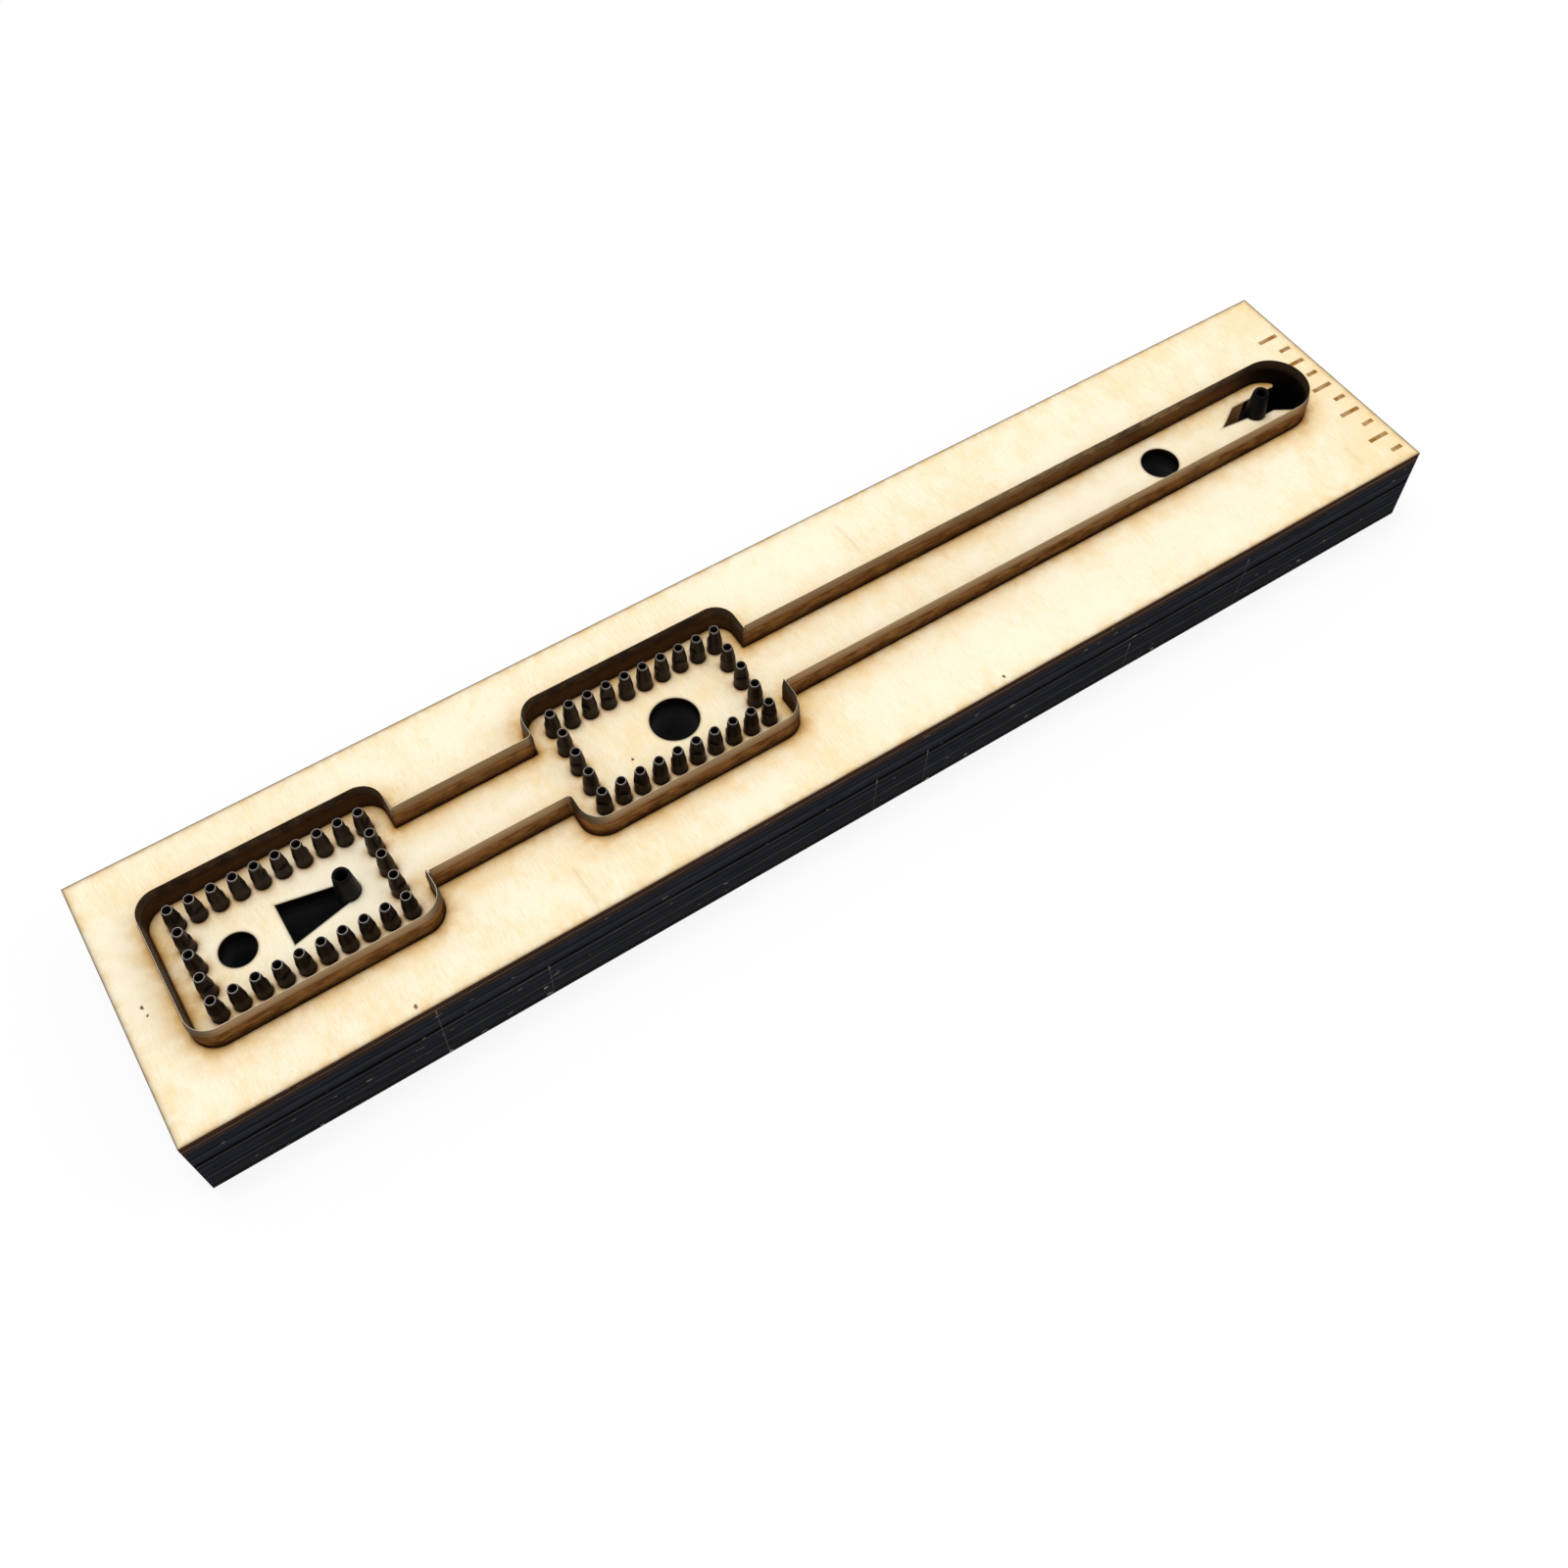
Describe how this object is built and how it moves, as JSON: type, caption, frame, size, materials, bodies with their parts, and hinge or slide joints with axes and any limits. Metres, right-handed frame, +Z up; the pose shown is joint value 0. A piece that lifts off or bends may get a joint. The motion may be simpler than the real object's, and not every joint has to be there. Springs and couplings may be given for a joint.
{
  "type": "leather cutting die",
  "caption": "Plywood board with upright steel cutting rule bent to a strap outline with stitched panels, and tube punches for its stitch and rivet holes.",
  "frame": {"origin": "under the middle of the board, on the face that it rests on", "axes": "+X along the board towards the strap's rounded end, +Z up towards the cutting edges"},
  "size_m": [0.253, 0.051, 0.0238],
  "materials": {
    "plywood": "matte",
    "rule_steel": "satin",
    "punch_steel": "satin"
  },
  "bodies": {
    "root": {"die_board": "plywood", "panel_rule": "rule_steel", "far_side_rule": "rule_steel", "near_side_rule": "rule_steel", "strap_rule": "rule_steel", "stitch_punch_1_01": "punch_steel", "stitch_punch_1_02": "punch_steel", "stitch_punch_1_03": "punch_steel", "stitch_punch_1_04": "punch_steel", "stitch_punch_1_05": "punch_steel", "stitch_punch_1_06": "punch_steel", "stitch_punch_1_07": "punch_steel", "stitch_punch_1_08": "punch_steel", "stitch_punch_1_09": "punch_steel", "stitch_punch_1_10": "punch_steel", "stitch_punch_1_11": "punch_steel", "stitch_punch_1_12": "punch_steel", "stitch_punch_1_13": "punch_steel", "stitch_punch_1_14": "punch_steel", "stitch_punch_1_15": "punch_steel", "stitch_punch_1_16": "punch_steel", "stitch_punch_1_17": "punch_steel", "stitch_punch_1_18": "punch_steel", "stitch_punch_1_19": "punch_steel", "stitch_punch_1_20": "punch_steel", "stitch_punch_1_21": "punch_steel", "stitch_punch_1_22": "punch_steel", "stitch_punch_1_23": "punch_steel", "stitch_punch_1_24": "punch_steel", "stitch_punch_1_25": "punch_steel", "stitch_punch_1_26": "punch_steel", "stitch_punch_2_01": "punch_steel", "stitch_punch_2_02": "punch_steel", "stitch_punch_2_03": "punch_steel", "stitch_punch_2_04": "punch_steel", "stitch_punch_2_05": "punch_steel", "stitch_punch_2_06": "punch_steel", "stitch_punch_2_07": "punch_steel", "stitch_punch_2_08": "punch_steel", "stitch_punch_2_09": "punch_steel", "stitch_punch_2_10": "punch_steel", "stitch_punch_2_11": "punch_steel", "stitch_punch_2_12": "punch_steel", "stitch_punch_2_13": "punch_steel", "stitch_punch_2_14": "punch_steel", "stitch_punch_2_15": "punch_steel", "stitch_punch_2_16": "punch_steel", "stitch_punch_2_17": "punch_steel", "stitch_punch_2_18": "punch_steel", "stitch_punch_2_19": "punch_steel", "stitch_punch_2_20": "punch_steel", "stitch_punch_2_21": "punch_steel", "stitch_punch_2_22": "punch_steel", "stitch_punch_2_23": "punch_steel", "stitch_punch_2_24": "punch_steel", "stitch_punch_2_25": "punch_steel", "stitch_punch_2_26": "punch_steel", "rivet_punch_panel": "punch_steel", "rivet_punch_strap": "punch_steel"}
  },
  "joints": []
}
